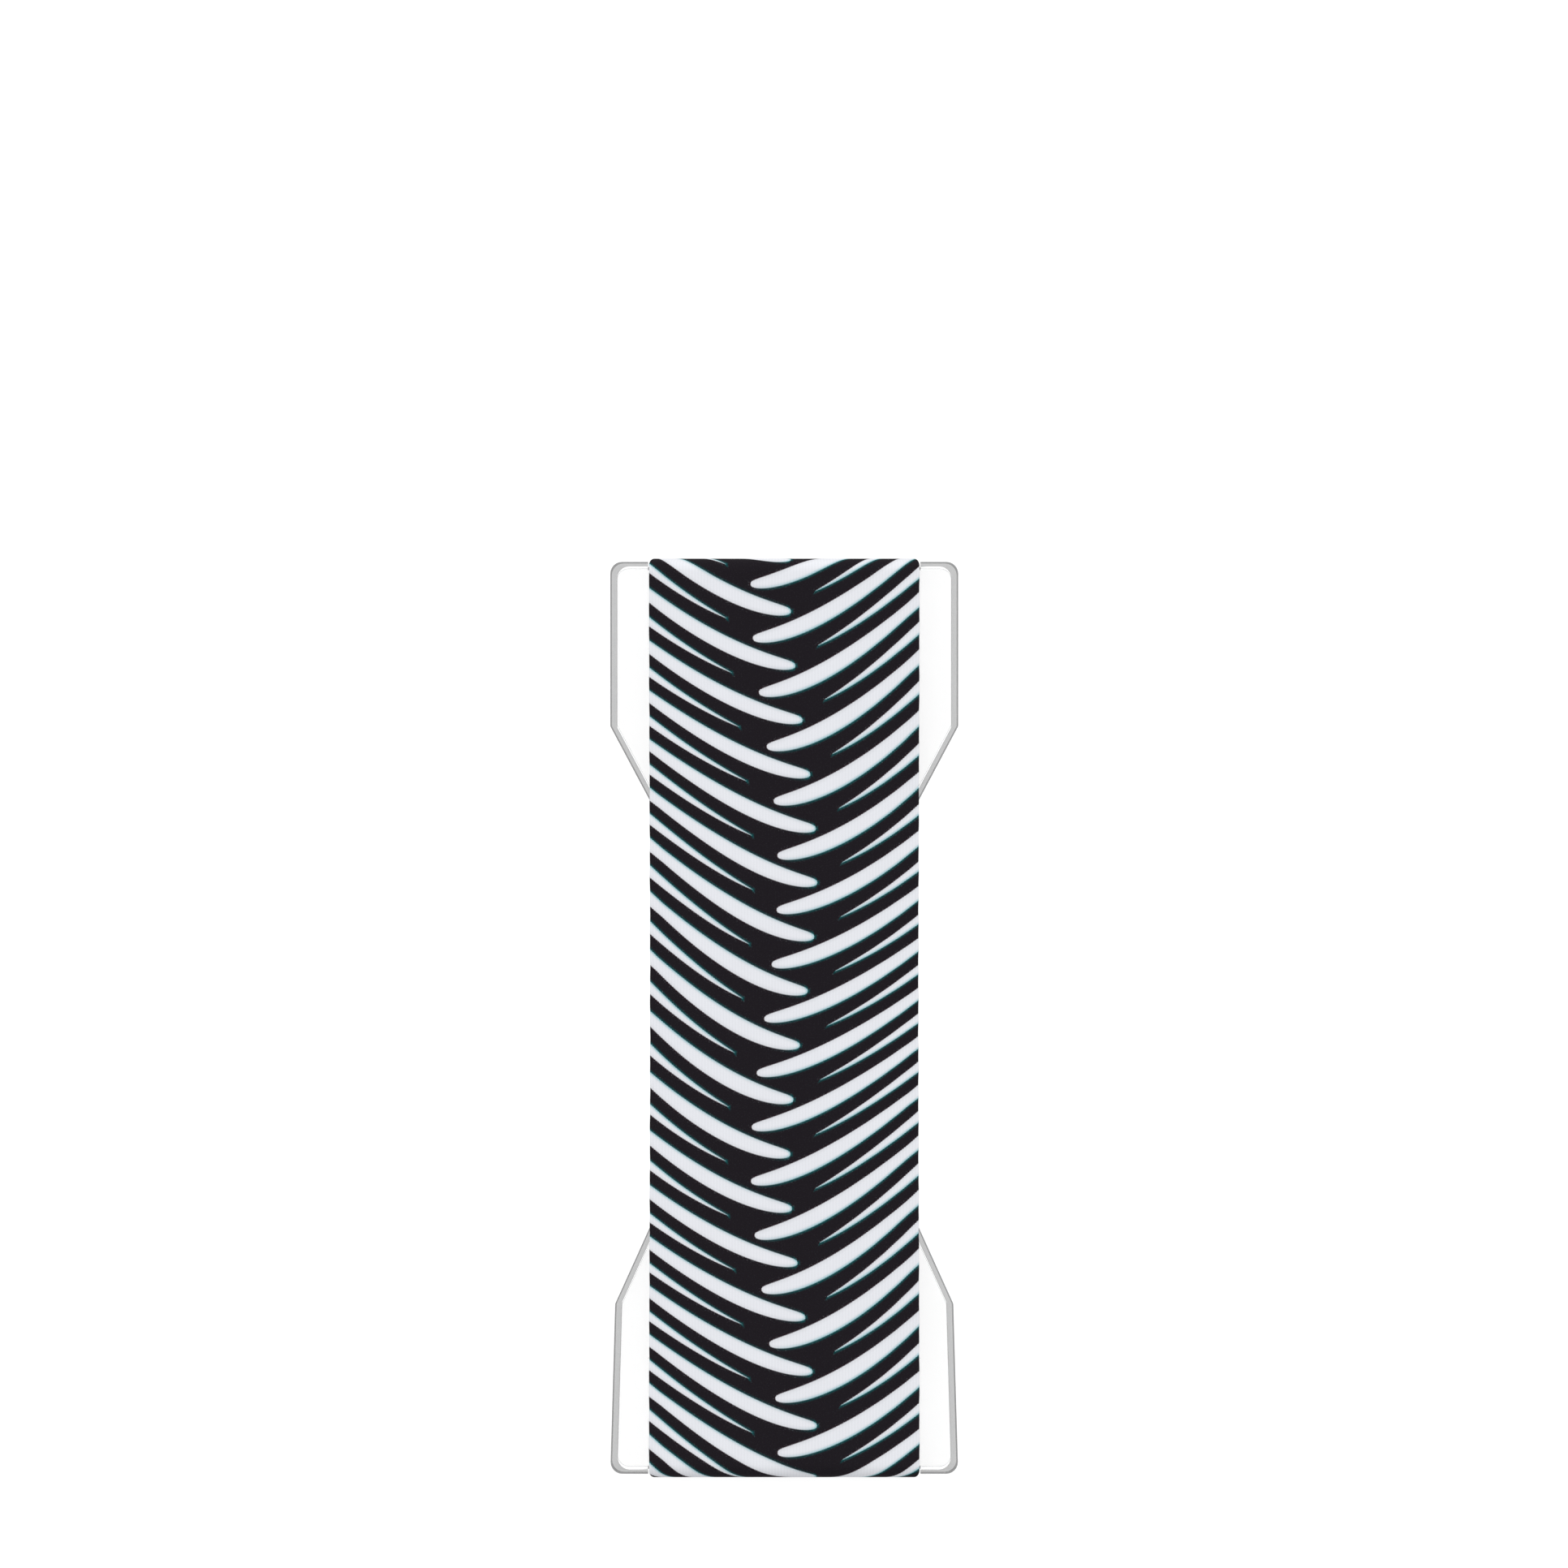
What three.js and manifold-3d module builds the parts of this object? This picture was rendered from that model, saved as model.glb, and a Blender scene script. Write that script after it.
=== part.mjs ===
// Elastic phone strap on a clear dog-bone base plate.
// X runs across the strap, Y along it and Z away from the phone. The adhesive face lies on Z = 0.
import * as THREE from "three";
import { mergeVertices } from "three/addons/utils/BufferGeometryUtils.js";
import Module from "manifold-3d";

const wasm = await Module();
wasm.setup();

// Elastic band
const strapWidth = 29.94;
const strapThickness = 0.8;
const strapNeckIn = 0.12; // what each edge draws in at mid length, under tension
const strapCornerRadius = 0.45; // rounding of the folded ends, seen from above
const seatClearance = 0.05;

// Base plate outline
const plateLength = 100.9;
const cheekWidth = 4.28; // plate showing beside the strap at each end
const upperHeadLength = 18.19;
const lowerHeadLength = 18.81;
const lowerHeadTaper = 0.54; // what each lower side leans in towards its shoulder
const upperNeckLength = 15.55;
const lowerNeckLength = 17.1;
const waistSetIn = 4; // how far the waist lies inside the strap's edge
const endCornerRadius = 1.3;
const shoulderRadius = 0.6;
const waistRadius = 3;

// Base plate section
const lipThickness = 1;
const lipNotchDepth = 0.58;
const lipNotchClearance = 0.1; // beside each edge of the band
const rimSide = 0.8; // bevel widths seen from above
const rimNeck = 0.63;
const rimEnd = 0.52;
const rimDrop = 0.7; // bevel height
const lowerEdgeBreak = 0.15;

// Clamp bars and the staked pins that hold them
const clampThickness = 0.65;
const clampLength = 10.4;
const clampFoldGap = 0.8; // from the centre of the fold to the bar
const clampSetIn = 0.5; // inside each edge of the band
const clampCornerRadius = 0.8;
const clampRibHeight = 0.14;
const clampRibWidth = 0.5;
const clampRibSpacing = 1.1;
const clampRibPairs = 3;
const pocketEndClearance = 0.5;
const pinCount = 5;
const pinEdgeMargin = 3; // from the band's edge to the outer pins
const pinRadius = 0.8;
const pinHoleClearance = 0.1;
const pinHeadOverlap = 0.6; // what the staked head stands out beyond the pin
const pinHeadThickness = 0.3;
const pinHeadRecess = 0.05; // below the underside of the plate
const pinHeadClearance = 0.1;

// Adhesive pad
const padThickness = 0.8;
const padInset = 0.7;

// Print: interleaved blades that taper in from both edges past a swaying spine
const printThickness = 0.08;
const printWrap = 125; // degrees of each fold that the openings follow
const printTail = 0.4; // plain black that runs on under the plate
const bladePitch = 6;
const bladeRise = 9; // how far a blade climbs between its tip and the edge
const bladeRisePower = 1.6;
const bladeOverlap = 2.2; // how far the tips pass the spine
const bladeBelly = 3;
const bladeEdgeWidth = 1.5;
const bladeTipPower = 0.35;
const slashStart = 5; // from the spine to the tip of the fine slash between two blades
const slashWidth = 1.2;
const slashPower = 0.8;
const spineSway = 1.5;
const spineWave = 64; // length of one sway

// Fineness of the round forms
const bendSteps = 12;
const roundSteps = 16;
const cornerSteps = 6;
const runSteps = 10;
const bladeSteps = 9;
const slashSteps = 5;

const cutMargin = 1; // how far cutting solids reach past the faces that they cut
const seamTolerance = 0.001; // within which points on a seam are the same
const vertexTolerance = 1e-4;

// Places that follow from the sizes
const plateUnderside = padThickness;
const lipUnderside = plateUnderside + clampThickness + strapThickness + seatClearance;
const plateTop = lipUnderside + lipThickness;
const lipTip = plateLength / 2 - lipNotchDepth;
const foldY = lipTip - lipThickness / 2;
const foldZ = plateTop - lipThickness / 2;
const foldInner = lipThickness / 2 + seatClearance;
const foldOuter = foldInner + strapThickness;
const strapEnd = foldY + foldOuter;
const tailLength = clampFoldGap + clampLength;
const tailEnd = foldY - tailLength;
const headWidth = strapWidth + 2 * cheekWidth;
const waistWidth = strapWidth - 2 * waistSetIn;
const notchWidth = strapWidth + 2 * lipNotchClearance;
const clampWidth = strapWidth - 2 * clampSetIn;
const clampY = tailEnd + clampLength / 2;
const pocketEnd = clampY - clampLength / 2 - pocketEndClearance;
const pinSpacing = (strapWidth - 2 * pinEdgeMargin) / (pinCount - 1);
const pinHoleRadius = pinRadius + pinHoleClearance;
const pinHeadRadius = pinRadius + pinHeadOverlap;
const pinHeadSeat = plateUnderside + pinHeadRecess + pinHeadThickness;

// Makes a closed solid of a geometry, with its shared vertices joined and no collapsed faces.
function solidOf(geometry) {
  const bare = geometry.index ? geometry.toNonIndexed() : geometry.clone();
  bare.deleteAttribute("normal");
  bare.deleteAttribute("uv");
  const merged = mergeVertices(bare, vertexTolerance);
  const index = merged.index.array;
  const kept = [];
  for (let i = 0; i < index.length; i += 3) {
    const [a, b, c] = [index[i], index[i + 1], index[i + 2]];
    if (a !== b && b !== c && c !== a) kept.push(a, b, c);
  }
  return new wasm.Manifold(
    new wasm.Mesh({
      numProp: 3,
      vertProperties: merged.attributes.position.array,
      triVerts: new Uint32Array(kept),
    }),
  );
}

function geometryOf(solid) {
  const mesh = solid.getMesh();
  const geometry = new THREE.BufferGeometry();
  geometry.setAttribute("position", new THREE.BufferAttribute(mesh.vertProperties, 3));
  geometry.setIndex(new THREE.BufferAttribute(new Uint32Array(mesh.triVerts), 1));
  return geometry;
}

// Lists a solid's faces, each as three [x, y, z] corners.
function facesOf(solid) {
  const { triVerts, vertProperties } = solid.getMesh();
  const corner = (vertex) => [...vertProperties.subarray(vertex * 3, vertex * 3 + 3)];
  const faces = [];
  for (let i = 0; i < triVerts.length; i += 3)
    faces.push([...triVerts.subarray(i, i + 3)].map(corner));
  return faces;
}

// Extrudes XY outlines from one height to another.
function upright(outlines, low, high) {
  const shapes = outlines.map((outline) => new THREE.Shape(outline));
  const geometry = new THREE.ExtrudeGeometry(shapes, { depth: high - low, bevelEnabled: false });
  return solidOf(geometry.translate(0, 0, low));
}

// Extrudes a YZ section across the full width given, centred on X = 0.
function across(section, width) {
  const geometry = new THREE.ExtrudeGeometry(new THREE.Shape(section), {
    depth: width,
    bevelEnabled: false,
  });
  const turn = new THREE.Matrix4().makeBasis(
    new THREE.Vector3(0, 1, 0),
    new THREE.Vector3(0, 0, 1),
    new THREE.Vector3(1, 0, 0),
  );
  return solidOf(geometry.applyMatrix4(turn).translate(-width / 2, 0, 0));
}

// Revolves a profile of [radius, height] points about a vertical axis at x, y.
function turned(profile, x, y) {
  const points = profile.map(([radius, height]) => new THREE.Vector2(radius, height));
  const geometry = new THREE.LatheGeometry(points, roundSteps);
  return solidOf(geometry.rotateX(Math.PI / 2).translate(x, y, 0));
}

function block(low, high) {
  const size = high.map((value, i) => value - low[i]);
  const middle = high.map((value, i) => (value + low[i]) / 2);
  return solidOf(new THREE.BoxGeometry(...size).translate(...middle));
}

// Rounds each corner of a closed outline; a corner is { x, y, radius }.
function roundedOutline(corners) {
  return corners.flatMap((corner, i) => {
    const at = new THREE.Vector2(corner.x, corner.y);
    const before = corners.at(i - 1);
    const after = corners[(i + 1) % corners.length];
    const toBefore = new THREE.Vector2(before.x, before.y).sub(at).normalize();
    const toAfter = new THREE.Vector2(after.x, after.y).sub(at).normalize();
    const half = Math.acos(toBefore.dot(toAfter)) / 2;
    const inward = toBefore.clone().add(toAfter).normalize();
    const centre = at.clone().addScaledVector(inward, corner.radius / Math.sin(half));
    const reach = corner.radius / Math.tan(half);
    const start = at.clone().addScaledVector(toBefore, reach).sub(centre);
    const end = at.clone().addScaledVector(toAfter, reach).sub(centre);
    const sweep = Math.atan2(start.cross(end), start.dot(end));
    return Array.from({ length: cornerSteps + 1 }, (_, step) => {
      const angle = start.angle() + (sweep * step) / cornerSteps;
      return new THREE.Vector2(
        centre.x + corner.radius * Math.cos(angle),
        centre.y + corner.radius * Math.sin(angle),
      );
    });
  });
}

// Corners of the plate, counter-clockwise; rim is the bevel width of the edge that follows.
function plateCorners() {
  const end = plateLength / 2;
  const upperShoulder = end - upperHeadLength;
  const lowerShoulder = -end + lowerHeadLength;
  const shoulderX = headWidth / 2 - lowerHeadTaper;
  const right = [
    { x: headWidth / 2, y: -end, radius: endCornerRadius, rim: rimSide },
    { x: shoulderX, y: lowerShoulder, radius: shoulderRadius, rim: rimNeck },
    { x: waistWidth / 2, y: lowerShoulder + lowerNeckLength, radius: waistRadius, rim: rimSide },
    { x: waistWidth / 2, y: upperShoulder - upperNeckLength, radius: waistRadius, rim: rimNeck },
    { x: headWidth / 2, y: upperShoulder, radius: shoulderRadius, rim: rimSide },
    { x: headWidth / 2, y: end, radius: endCornerRadius, rim: rimEnd },
  ];
  const left = right.toReversed().map((corner, i, list) => ({
    x: -corner.x,
    y: corner.y,
    radius: corner.radius,
    rim: i < list.length - 1 ? list[i + 1].rim : rimEnd,
  }));
  return [...right, ...left];
}

// Moves each edge of a counter-clockwise outline inward by inset(edge), and keeps the corners' radii.
function insetCorners(corners, inset) {
  const edges = corners.map((corner, i) => {
    const next = corners[(i + 1) % corners.length];
    const along = new THREE.Vector2(next.x - corner.x, next.y - corner.y).normalize();
    const inward = new THREE.Vector2(-along.y, along.x);
    const point = new THREE.Vector2(corner.x, corner.y).addScaledVector(inward, inset(corner));
    return { point, along };
  });
  return corners.map((corner, i) => {
    const first = edges.at(i - 1);
    const second = edges[i];
    const turn = first.along.cross(second.along);
    const reach = second.point.clone().sub(first.point).cross(second.along) / turn;
    const at = first.point.clone().addScaledVector(first.along, reach);
    return { x: at.x, y: at.y, radius: corner.radius };
  });
}

// Skins a stack of outlines, each with as many points, into one closed solid.
function lofted(levels) {
  const count = levels[0].outline.length;
  const positions = levels.flatMap(({ outline, z }) => outline.flatMap(({ x, y }) => [x, y, z]));
  const faces = [];
  for (let level = 0; level < levels.length - 1; level++) {
    for (let i = 0; i < count; i++) {
      const next = (i + 1) % count;
      const [a, b] = [level * count + i, level * count + next];
      faces.push(a, b, b + count, a, b + count, a + count);
    }
  }
  const top = (levels.length - 1) * count;
  for (const [a, b, c] of THREE.ShapeUtils.triangulateShape(levels[0].outline, []))
    faces.push(a, c, b);
  for (const [a, b, c] of THREE.ShapeUtils.triangulateShape(levels.at(-1).outline, []))
    faces.push(top + a, top + b, top + c);
  const geometry = new THREE.BufferGeometry();
  geometry.setAttribute("position", new THREE.Float32BufferAttribute(positions, 3));
  geometry.setIndex(faces);
  return solidOf(geometry);
}

// Half width of the band at a place along it: drawn in at mid length, rounded off at the folds.
function strapHalfWidth(y) {
  const middle = Math.cos((Math.PI * y) / (2 * strapEnd)) ** 2;
  const past = Math.max(0, Math.abs(y) - (strapEnd - strapCornerRadius));
  const square = Math.max(0, strapCornerRadius ** 2 - Math.min(past, strapCornerRadius) ** 2);
  const rounding = strapCornerRadius - Math.sqrt(square);
  return strapWidth / 2 - strapNeckIn * middle - rounding;
}

const onStrap = (x, y, z) => [(x * strapHalfWidth(y)) / (strapWidth / 2), y, z];

// Length of a fold at a radius, along its facets.
const foldLength = (radius) => 2 * bendSteps * radius * Math.sin(Math.PI / (2 * bendSteps));

// Bends a point of a layer that lies flat, with Y along it, round the folds at the radius of its middle.
function wrapped(radius, x, along, height) {
  const end = Math.sign(along);
  const past = ((Math.abs(along) - foldY) * bendSteps) / foldLength(radius);
  const arm = radius + height;
  if (past <= 0) return onStrap(x, along, foldZ + arm);
  if (past >= bendSteps) {
    const onTail = Math.abs(along) - foldY - foldLength(radius);
    return onStrap(x, end * (foldY - onTail), foldZ - arm);
  }
  const facet = Math.floor(past);
  const share = past - facet;
  const [from, to] = [facet, facet + 1].map((step) => (Math.PI * step) / bendSteps);
  const out = Math.sin(from) * (1 - share) + Math.sin(to) * share;
  const up = Math.cos(from) * (1 - share) + Math.cos(to) * share;
  return onStrap(x, end * (foldY + arm * out), foldZ + arm * up);
}

// Finds the point that is the same as this one within the tolerance, or adds it.
function samePoint(points, point) {
  const near = (other) => other.every((value, i) => Math.abs(value - point[i]) < seamTolerance);
  const match = points.find(near);
  if (!match) points.push(point);
  return match ?? point;
}

// Cuts a layer of the band while it lies flat, in stretches between seams, then wraps it round the folds.
function wrappedLayer(inner, outer, tail, cutters) {
  const radius = (inner + outer) / 2;
  const half = (outer - inner) / 2;
  const reach = [];
  for (let step = 0; step < runSteps / 2; step++) reach.push((foldY * step) / (runSteps / 2));
  for (let facet = 0; facet <= bendSteps; facet++)
    reach.push(foldY + (foldLength(radius) * facet) / bendSteps);
  reach.push(foldY + foldLength(radius) + tail);
  const seams = [...reach.slice(1).map((along) => -along).toReversed(), ...reach];
  const seamPoints = seams.map(() => []);
  const positions = [];
  for (let i = 0; i < seams.length - 1; i++) {
    const low = [-strapWidth / 2, seams[i], -half];
    const high = [strapWidth / 2, seams[i + 1], half];
    const joins = [i, i + 1].filter((seam) => seam > 0 && seam < seams.length - 1);
    const seamOf = (point) => joins.find((seam) => Math.abs(point[1] - seams[seam]) < seamTolerance);
    for (const face of facesOf(block(low, high).subtract(cutters))) {
      const [first, second, third] = face.map(seamOf);
      if (first !== undefined && first === second && second === third) continue;
      for (const point of face) {
        const seam = seamOf(point);
        const shared = seam === undefined ? point : samePoint(seamPoints[seam], point);
        positions.push(...wrapped(radius, ...shared));
      }
    }
  }
  const geometry = new THREE.BufferGeometry();
  geometry.setAttribute("position", new THREE.Float32BufferAttribute(positions, 3));
  return geometryOf(solidOf(geometry));
}

const pinPlaces = [-1, 1].flatMap((end) =>
  Array.from({ length: pinCount }, (_, i) => [
    (i - (pinCount - 1) / 2) * pinSpacing,
    end * clampY,
  ]),
);

function makeBasePlate() {
  const corners = plateCorners();
  const level = (inset, z) => ({ outline: roundedOutline(insetCorners(corners, inset)), z });
  let plate = lofted([
    level(() => lowerEdgeBreak, plateUnderside),
    level(() => 0, plateUnderside + lowerEdgeBreak),
    level(() => 0, plateTop - rimDrop),
    level((edge) => edge.rim, plateTop),
  ]);
  for (const end of [-1, 1]) {
    const ends = [end * pocketEnd, end * plateLength];
    const pocketLow = [-notchWidth / 2, Math.min(...ends), plateUnderside - cutMargin];
    const pocketHigh = [notchWidth / 2, Math.max(...ends), lipUnderside];
    plate = plate.subtract(block(pocketLow, pocketHigh));
    const notch = [end * foldY, end * plateLength];
    const notchLow = [-notchWidth / 2, Math.min(...notch), plateUnderside - cutMargin];
    const notchHigh = [notchWidth / 2, Math.max(...notch), plateTop + cutMargin];
    plate = plate.subtract(block(notchLow, notchHigh));
    const nose = new THREE.Shape();
    nose.moveTo(end * (foldY - lipThickness), lipUnderside);
    nose.lineTo(end * foldY, lipUnderside);
    nose.absarc(end * foldY, foldZ, lipThickness / 2, -Math.PI / 2, Math.PI / 2, end < 0);
    nose.lineTo(end * (foldY - lipThickness), plateTop);
    plate = plate.add(across(nose.getPoints(bendSteps), notchWidth));
  }
  const pin = [
    [0, pinHeadSeat - pinHeadThickness],
    [pinHeadRadius - pinHeadThickness / 2, pinHeadSeat - pinHeadThickness],
    [pinHeadRadius, pinHeadSeat - pinHeadThickness / 2],
    [pinHeadRadius, pinHeadSeat],
    [pinRadius, pinHeadSeat],
    [pinRadius, lipUnderside + lipThickness / 2],
    [0, lipUnderside + lipThickness / 2],
  ];
  for (const [x, y] of pinPlaces) plate = plate.add(turned(pin, x, y));
  return geometryOf(plate);
}

function makeStrap() {
  const radius = (foldInner + foldOuter) / 2;
  const holeAlong = foldY + foldLength(radius) + foldY - clampY;
  const hole = [
    [0, -strapThickness],
    [pinHoleRadius, -strapThickness],
    [pinHoleRadius, strapThickness],
    [0, strapThickness],
  ];
  const holes = pinPlaces.map(([x, y]) => turned(hole, x, Math.sign(y) * holeAlong));
  const cutters = holes.reduce((all, next) => all.add(next));
  return wrappedLayer(foldInner, foldOuter, tailLength, cutters);
}

// Outline of one opening of the print, from its tip out past the band's edge.
function openingOutline(side, root, start, steps, halfWidthAt) {
  const reach = strapWidth / 2 - start;
  const past = (strapWidth / 2 + spineSway + cutMargin - start) / reach;
  const upper = [];
  const lower = [];
  for (let step = 0; step <= steps; step++) {
    const share = past * (step / steps) ** 2;
    const x = start + share * reach;
    const climb = (x + bladeOverlap) / (strapWidth / 2 + bladeOverlap);
    const middle = root + bladeRise * climb ** bladeRisePower;
    for (const [line, sign] of [[upper, 1], [lower, -1]]) {
      const y = middle + sign * halfWidthAt(share);
      const sway = spineSway * Math.sin((2 * Math.PI * y) / spineWave);
      line.push(new THREE.Vector2(side * x + sway, y));
    }
  }
  return [...upper, ...lower.slice(1).toReversed()];
}

// Outlines of the whole print on the band laid flat: on each side a blade and a slash for each pitch.
function openingOutlines() {
  const bladeHalf = (share) => {
    const belly = bladeBelly * share ** bladeTipPower * Math.max(0, 1 - share);
    return (belly + bladeEdgeWidth * share) / 2;
  };
  const slashHalf = (share) => (slashWidth * share ** slashPower) / 2;
  const count = Math.ceil((strapEnd + 2 * bladeRise) / bladePitch);
  const outlines = [];
  for (const side of [-1, 1]) {
    for (let k = -count; k <= count; k++) {
      const root = (k + (side < 0 ? 0.5 : 0)) * bladePitch;
      const slashRoot = root + bladePitch / 2;
      outlines.push(openingOutline(side, root, -bladeOverlap, bladeSteps, bladeHalf));
      outlines.push(openingOutline(side, slashRoot, slashStart, slashSteps, slashHalf));
    }
  }
  return outlines;
}

function makeStrapPrint() {
  const printEnd = foldY + (foldLength(foldOuter + printThickness / 2) * printWrap) / 180;
  const limit = block([-strapWidth, -printEnd, -cutMargin], [strapWidth, printEnd, cutMargin]);
  const cutters = upright(openingOutlines(), -cutMargin, cutMargin).intersect(limit);
  return wrappedLayer(foldOuter, foldOuter + printThickness, printTail, cutters);
}

function makeClampBar(end) {
  const sides = [[1, -1], [1, 1], [-1, 1], [-1, -1]];
  const corners = sides.map(([right, up]) => ({
    x: (right * clampWidth) / 2,
    y: (up * clampLength) / 2,
    radius: clampCornerRadius,
  }));
  const outline = roundedOutline(corners);
  const face = plateUnderside + clampThickness - clampRibHeight;
  let bar = upright([outline], plateUnderside, face);
  for (let pair = 0; pair < clampRibPairs; pair++) {
    for (const sign of [-1, 1]) {
      const y = sign * (pinRadius + pinHoleClearance + (pair + 0.5) * clampRibSpacing);
      const rib = [
        new THREE.Vector2(y - clampRibWidth / 2, face - clampRibHeight),
        new THREE.Vector2(y + clampRibWidth / 2, face - clampRibHeight),
        new THREE.Vector2(y + clampRibWidth / 2, face),
        new THREE.Vector2(y, face + clampRibHeight),
        new THREE.Vector2(y - clampRibWidth / 2, face),
      ];
      bar = bar.add(across(rib, clampWidth - 2 * clampCornerRadius));
    }
  }
  const hole = [
    [0, plateUnderside - cutMargin],
    [pinHeadRadius + pinHeadClearance, plateUnderside - cutMargin],
    [pinHeadRadius + pinHeadClearance, pinHeadSeat],
    [pinHoleRadius, pinHeadSeat],
    [pinHoleRadius, plateUnderside + clampThickness + cutMargin],
    [0, plateUnderside + clampThickness + cutMargin],
  ];
  for (const [x, y] of pinPlaces)
    if (Math.sign(y) === end) bar = bar.subtract(turned(hole, x, 0));
  return geometryOf(bar);
}

function makeAdhesivePad() {
  const outline = roundedOutline(insetCorners(plateCorners(), () => padInset));
  return geometryOf(upright([outline], 0, padThickness));
}

const clearPlastic = { color: "#dde1e4", roughness: 0.1, metalness: 0, transparent: true, opacity: 0.45 };
const whiteElastic = { color: "#e2e3e9", roughness: 0.92, metalness: 0 };
const blackInk = { color: "#222023", roughness: 0.85, metalness: 0 };
const milkyPlastic = { color: "#cfd3d6", roughness: 0.4, metalness: 0 };
const clearFoam = { color: "#e9ecee", roughness: 0.6, metalness: 0, transparent: true, opacity: 0.6 };

const group = new THREE.Group();

function place(name, geometry, finish, y = 0) {
  const mesh = new THREE.Mesh(geometry, new THREE.MeshStandardMaterial(finish));
  mesh.name = name;
  mesh.position.y = y;
  group.add(mesh);
}

place("adhesive_pad", makeAdhesivePad(), clearFoam);
place("base_plate", makeBasePlate(), clearPlastic);
place("clamp_bar_upper", makeClampBar(1), milkyPlastic, clampY);
place("clamp_bar_lower", makeClampBar(-1), milkyPlastic, -clampY);
place("strap", makeStrap(), whiteElastic);
place("strap_print", makeStrapPrint(), blackInk);

export default group;
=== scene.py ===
import math

import bpy
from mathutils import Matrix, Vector


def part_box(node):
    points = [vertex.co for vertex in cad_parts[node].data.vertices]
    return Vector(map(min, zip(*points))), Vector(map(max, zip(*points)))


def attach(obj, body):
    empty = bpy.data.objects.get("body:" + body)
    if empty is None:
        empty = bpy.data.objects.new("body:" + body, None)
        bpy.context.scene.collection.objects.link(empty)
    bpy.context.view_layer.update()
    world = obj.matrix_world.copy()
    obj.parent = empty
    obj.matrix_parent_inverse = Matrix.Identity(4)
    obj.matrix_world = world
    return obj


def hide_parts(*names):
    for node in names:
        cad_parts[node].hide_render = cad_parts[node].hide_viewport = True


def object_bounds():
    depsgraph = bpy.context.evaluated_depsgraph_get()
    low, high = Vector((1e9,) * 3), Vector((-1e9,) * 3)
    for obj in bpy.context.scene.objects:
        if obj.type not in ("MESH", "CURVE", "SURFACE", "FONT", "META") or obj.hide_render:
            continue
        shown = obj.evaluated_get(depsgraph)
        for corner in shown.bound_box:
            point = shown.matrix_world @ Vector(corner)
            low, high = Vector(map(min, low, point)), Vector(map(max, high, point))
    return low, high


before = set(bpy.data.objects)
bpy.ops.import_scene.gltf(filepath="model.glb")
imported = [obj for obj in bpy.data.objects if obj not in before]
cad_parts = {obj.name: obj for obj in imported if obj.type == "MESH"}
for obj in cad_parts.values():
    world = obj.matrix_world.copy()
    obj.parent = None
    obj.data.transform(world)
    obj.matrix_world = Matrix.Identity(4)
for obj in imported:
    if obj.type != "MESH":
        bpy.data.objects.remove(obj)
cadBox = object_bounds()
mm = 0.001  # the scene is in metres, and sizes below are in millimetres
scene = bpy.context.scene
scene.view_settings.view_transform = "Standard"  # keeps the white floor white
print("phone strap: frame loaded,", len(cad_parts), "nodes")

# camera, straight above, as the photograph looks
cameraSetup = {
    "lens": 300,
    "sensor": 36,
    "photoSize": 1932,  # pixels, square
    "pixelsPerMm": 11.15,
    "objectCentre": (966.3, 1254.5),  # pixels, of the middle of the band
    "clip": (0.05, 20),  # metres
}


def addCamera(setup):
    photoMiddle = setup["photoSize"] / 2
    frameWidth = setup["photoSize"] / setup["pixelsPerMm"] * mm
    right = (photoMiddle - setup["objectCentre"][0]) / setup["pixelsPerMm"] * mm
    up = (setup["objectCentre"][1] - photoMiddle) / setup["pixelsPerMm"] * mm
    height = frameWidth * setup["lens"] / setup["sensor"] + cadBox[1].z
    bpy.ops.object.camera_add(location=(right, up, height), rotation=(0, 0, 0))
    camera = bpy.context.object
    camera.name = "camera"
    camera.data.lens = setup["lens"]
    camera.data.sensor_width = setup["sensor"]
    camera.data.clip_start, camera.data.clip_end = setup["clip"]
    scene.camera = camera


addCamera(cameraSetup)
print("camera placed")


# small helpers for modelling
def selectOnly(piece):
    bpy.ops.object.select_all(action="DESELECT")
    piece.select_set(True)
    bpy.context.view_layer.objects.active = piece


def applyModifier(piece, kind, **settings):
    selectOnly(piece)
    modifier = piece.modifiers.new(kind.lower(), kind)
    for name, value in settings.items():
        setattr(modifier, name, value)
    bpy.ops.object.modifier_apply(modifier=modifier.name)


def smoothEdges(piece, degrees):
    selectOnly(piece)
    bpy.ops.object.shade_smooth_by_angle(angle=math.radians(degrees))


def finishPiece(piece, name, slotName, *nodes):
    piece.name = name
    piece.data.name = name
    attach(piece, "root")
    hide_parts(*nodes)


# small helpers for materials
def newMaterial(name, **values):
    material = bpy.data.materials.new(name)
    material.use_nodes = True
    shader = material.node_tree.nodes["Principled BSDF"]
    for socket, value in values.items():
        shader.inputs[socket.replace("_", " ")].default_value = value
    return material, shader


def feed(tree, source, target):
    if isinstance(source, bpy.types.NodeSocket):
        tree.links.new(source, target)
    else:
        target.default_value = source


def addNode(tree, kind, inputs=None, **settings):
    node = tree.nodes.new(kind)
    for name, value in settings.items():
        setattr(node, name, value)
    for key, value in (inputs or {}).items():
        feed(tree, value, node.inputs[key])
    return node


def calc(tree, operation, *values, clamp=False):
    node = addNode(tree, "ShaderNodeMath", dict(enumerate(values)), operation=operation, use_clamp=clamp)
    return node.outputs[0]


def ramp(tree, value, low, high, toLow=0.0, toHigh=1.0):
    inputs = {"Value": value, "From Min": low, "From Max": high, "To Min": toLow, "To Max": toHigh}
    return addNode(tree, "ShaderNodeMapRange", inputs, interpolation_type="SMOOTHSTEP").outputs[0]


def mixColour(tree, factor, first, second):
    node = addNode(tree, "ShaderNodeMix", {0: factor, 6: first, 7: second}, data_type="RGBA")
    return node.outputs[2]


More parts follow.
